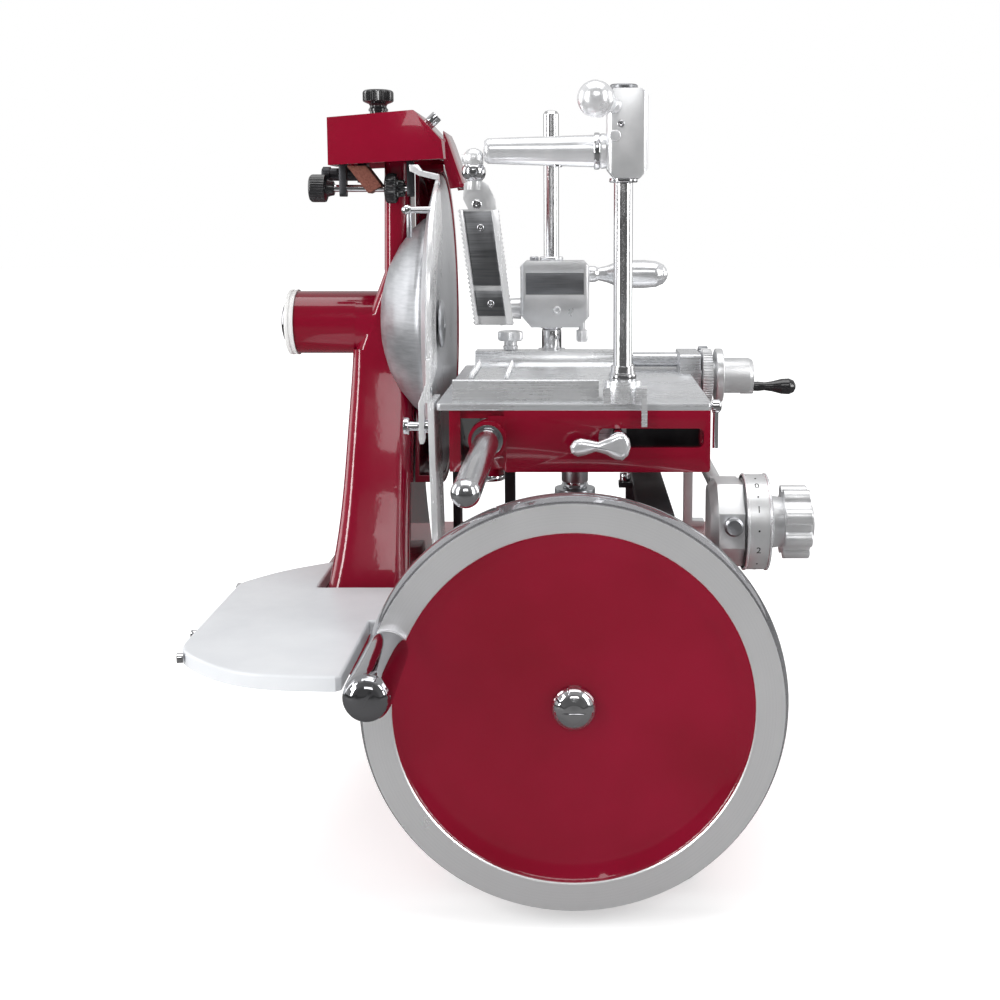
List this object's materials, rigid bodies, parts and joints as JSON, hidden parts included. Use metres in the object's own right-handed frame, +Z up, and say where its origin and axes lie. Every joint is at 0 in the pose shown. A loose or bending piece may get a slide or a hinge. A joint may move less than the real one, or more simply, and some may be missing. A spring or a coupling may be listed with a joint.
{
  "type": "hand crank meat slicer",
  "caption": "Hand cranked flywheel meat slicer: red cast stand, round knife, sliding carriage with feed table and meat press, thickness dial, receiving plate.",
  "frame": {"origin": "on the floor plane, at the centre of the four foot bolt holes", "axes": "+Z up, the flywheel faces -Y, the receiving plate is at -X and the thickness dial at +X"},
  "size_m": [0.564, 0.612, 0.731],
  "materials": {
    "red_enamel": "deep crimson gloss enamel",
    "satin_aluminium": "polished and satin aluminium",
    "chrome": "bright plating",
    "steel": "ground and turned steel",
    "grey_steel": "satin grey sheet",
    "black_knob": "glossy black phenolic",
    "white_board": "milky white board",
    "rubber": "matt",
    "bronze": "oiled bronze",
    "stone": "bonded abrasive"
  },
  "bodies": {
    "base": {"base_casting": "red_enamel", "foot_pads": "rubber", "column": "red_enamel", "hub_cap": "white_board", "shaft_bushes": "bronze", "sharpener_hood": "red_enamel", "ring_guard": "red_enamel", "slice_dome": "grey_steel", "slice_strip": "steel", "guard_bar": "steel", "guide_rail": "chrome", "rail_stands": "steel", "flat_rail": "steel", "receiving_plate": "white_board", "case_screws": "chrome", "drive_chain": "steel", "control_bracket": "satin_aluminium", "control_housing": "satin_aluminium", "sharpener_block": "steel"},
    "flywheel": {"flywheel_rim": "chrome", "flywheel_disc": "red_enamel", "wheel_cap_nut": "chrome", "main_shaft": "steel", "main_bevel_gears": "steel", "handle_axle": "chrome"},
    "wheel_handle": {"crank_handle": "chrome"},
    "drive_crank": {"crank_shaft": "steel", "crank_arm": "steel"},
    "knife_drive": {"cross_shaft": "steel"},
    "knife": {"knife": "steel", "knife_shaft": "steel"},
    "carriage": {"carriage_body": "red_enamel", "carriage_plate": "satin_aluminium", "carriage_fittings": "chrome"},
    "roller": {"carriage_roller": "steel"},
    "connecting_rod": {"connecting_rod": "steel"},
    "tray": {"meat_tray": "satin_aluminium", "tray_columns": "chrome"},
    "slot_lever": {"slot_lever": "satin_aluminium"},
    "tray_knob": {"tray_knob": "satin_aluminium"},
    "feed_screw": {"feed_screw": "steel"},
    "feed_crank": {"feed_gear": "satin_aluminium", "feed_crank": "satin_aluminium"},
    "feed_handle": {"feed_handle": "black_knob"},
    "front_press": {"front_head": "satin_aluminium", "press_arm": "satin_aluminium"},
    "press_plate": {"press_backing": "steel", "press_plate": "steel"},
    "front_grip": {"front_grip": "satin_aluminium"},
    "rear_press": {"rear_head": "satin_aluminium"},
    "rear_grip": {"rear_grip": "satin_aluminium"},
    "rear_knob": {"rear_knob": "satin_aluminium"},
    "dial": {"dial_ring": "satin_aluminium", "dial_knob": "satin_aluminium"},
    "push_button": {"push_button": "steel"},
    "sharpener_knob": {"sharpener_knob": "black_knob"},
    "grind_unit": {"grind_knob": "black_knob", "grind_stone": "stone"},
    "hone_unit": {"hone_knob": "black_knob"}
  },
  "joints": [
    {"name": "flywheel_spin", "type": "hinge", "parent": "base", "child": "flywheel", "pos_m": [0, -0.245, 0.195], "axis": [0, 1, 0], "continuous": true},
    {"name": "wheel_handle_spin", "type": "hinge", "parent": "flywheel", "child": "wheel_handle", "pos_m": [-0.1545, -0.33, 0.249], "axis": [0, 1, 0], "continuous": true},
    {"name": "drive_crank_spin", "type": "hinge", "parent": "base", "child": "drive_crank", "pos_m": [0, 0.0755, 0.26], "axis": [0, 0, 1], "continuous": true},
    {"name": "knife_drive_spin", "type": "hinge", "parent": "base", "child": "knife_drive", "pos_m": [-0.1, 0, 0.195], "axis": [1, 0, 0], "continuous": true},
    {"name": "knife_spin", "type": "hinge", "parent": "base", "child": "knife", "pos_m": [-0.14, 0, 0.499], "axis": [1, 0, 0], "continuous": true},
    {"name": "carriage_slide", "type": "slide", "parent": "base", "child": "carriage", "axis": [0, -1, 0], "range_m": [0, 0.225]},
    {"name": "roller_spin", "type": "hinge", "parent": "carriage", "child": "roller", "pos_m": [0.072, 0.062, 0.37], "axis": [1, 0, 0], "range_deg": [-5, 725]},
    {"name": "rod_swing", "type": "hinge", "parent": "carriage", "child": "connecting_rod", "pos_m": [0, 0.038, 0.338], "axis": [0, 0, 1], "range_deg": [-48, 48]},
    {"name": "tray_slide", "type": "slide", "parent": "carriage", "child": "tray", "axis": [1, 0, 0], "range_m": [-0.008, 0.04]},
    {"name": "feed_screw_spin", "type": "hinge", "parent": "carriage", "child": "feed_screw", "pos_m": [0.14, 0.11, 0.4507], "axis": [1, 0, 0], "range_deg": [-720, 3600]},
    {"name": "feed_crank_spin", "type": "hinge", "parent": "carriage", "child": "feed_crank", "pos_m": [0.15, 0.07, 0.4379], "axis": [1, 0, 0], "range_deg": [-1800, 360]},
    {"name": "feed_handle_spin", "type": "hinge", "parent": "feed_crank", "child": "feed_handle", "pos_m": [0.214, 0.07, 0.426], "axis": [1, 0, 0], "continuous": true},
    {"name": "slot_lever_turn", "type": "hinge", "parent": "tray", "child": "slot_lever", "pos_m": [0.039, -0.168, 0.41], "axis": [0, 1, 0], "range_deg": [-30, 60]},
    {"name": "tray_knob_turn", "type": "hinge", "parent": "tray", "child": "tray_knob", "pos_m": [-0.071, 0.11, 0.47], "axis": [0, 0, 1], "range_deg": [-90, 270]},
    {"name": "front_press_slide", "type": "slide", "parent": "tray", "child": "front_press", "axis": [0, 0, 1], "range_m": [-0.046, 0]},
    {"name": "press_plate_swivel", "type": "hinge", "parent": "front_press", "child": "press_plate", "pos_m": [-0.0885, -0.152, 0.657], "axis": [1, 0, 0], "range_deg": [-15, 15]},
    {"name": "front_grip_turn", "type": "hinge", "parent": "front_press", "child": "front_grip", "pos_m": [0.0345, -0.175, 0.702], "axis": [0, 1, 0], "range_deg": [-90, 90]},
    {"name": "rear_press_slide", "type": "slide", "parent": "tray", "child": "rear_press", "axis": [0, 0, 1], "range_m": [0, 0.15]},
    {"name": "rear_grip_turn", "type": "hinge", "parent": "rear_press", "child": "rear_grip", "pos_m": [0.06, 0.126, 0.544], "axis": [1, 0, 0], "continuous": true},
    {"name": "rear_knob_turn", "type": "hinge", "parent": "rear_press", "child": "rear_knob", "pos_m": [0.008, 0.126, 0.48], "axis": [0, 0, 1], "range_deg": [-90, 270]},
    {"name": "dial_turn", "type": "hinge", "parent": "base", "child": "dial", "pos_m": [0.18, -0.145, 0.329], "axis": [1, 0, 0], "range_deg": [0, 300]},
    {"name": "button_press", "type": "slide", "parent": "base", "child": "push_button", "axis": [0, 1, 0], "range_m": [0, 0.004], "stiffness_N_per_m": 800},
    {"name": "sharpener_knob_turn", "type": "hinge", "parent": "base", "child": "sharpener_knob", "pos_m": [-0.1942, -0.005, 0.715], "axis": [0, 0, 1], "range_deg": [-90, 180]},
    {"name": "grind_press", "type": "slide", "parent": "base", "child": "grind_unit", "axis": [1, 0, 0], "range_m": [0, 0.002], "stiffness_N_per_m": 600},
    {"name": "hone_turn", "type": "hinge", "parent": "grind_unit", "child": "hone_unit", "pos_m": [-0.175, -0.044, 0.634], "axis": [1, 0, 0], "continuous": true}
  ],
  "couplings": [
    {"joint": "drive_crank_spin", "follows": "flywheel_spin", "ratio": 1},
    {"joint": "knife_drive_spin", "follows": "flywheel_spin", "ratio": 2},
    {"joint": "knife_spin", "follows": "flywheel_spin", "ratio": 4},
    {"joint": "roller_spin", "follows": "carriage_slide", "rad_per_m": 55.866},
    {"joint": "feed_screw_spin", "follows": "tray_slide", "rad_per_m": 1570.8},
    {"joint": "feed_crank_spin", "follows": "tray_slide", "rad_per_m": -785.4}
  ]
}
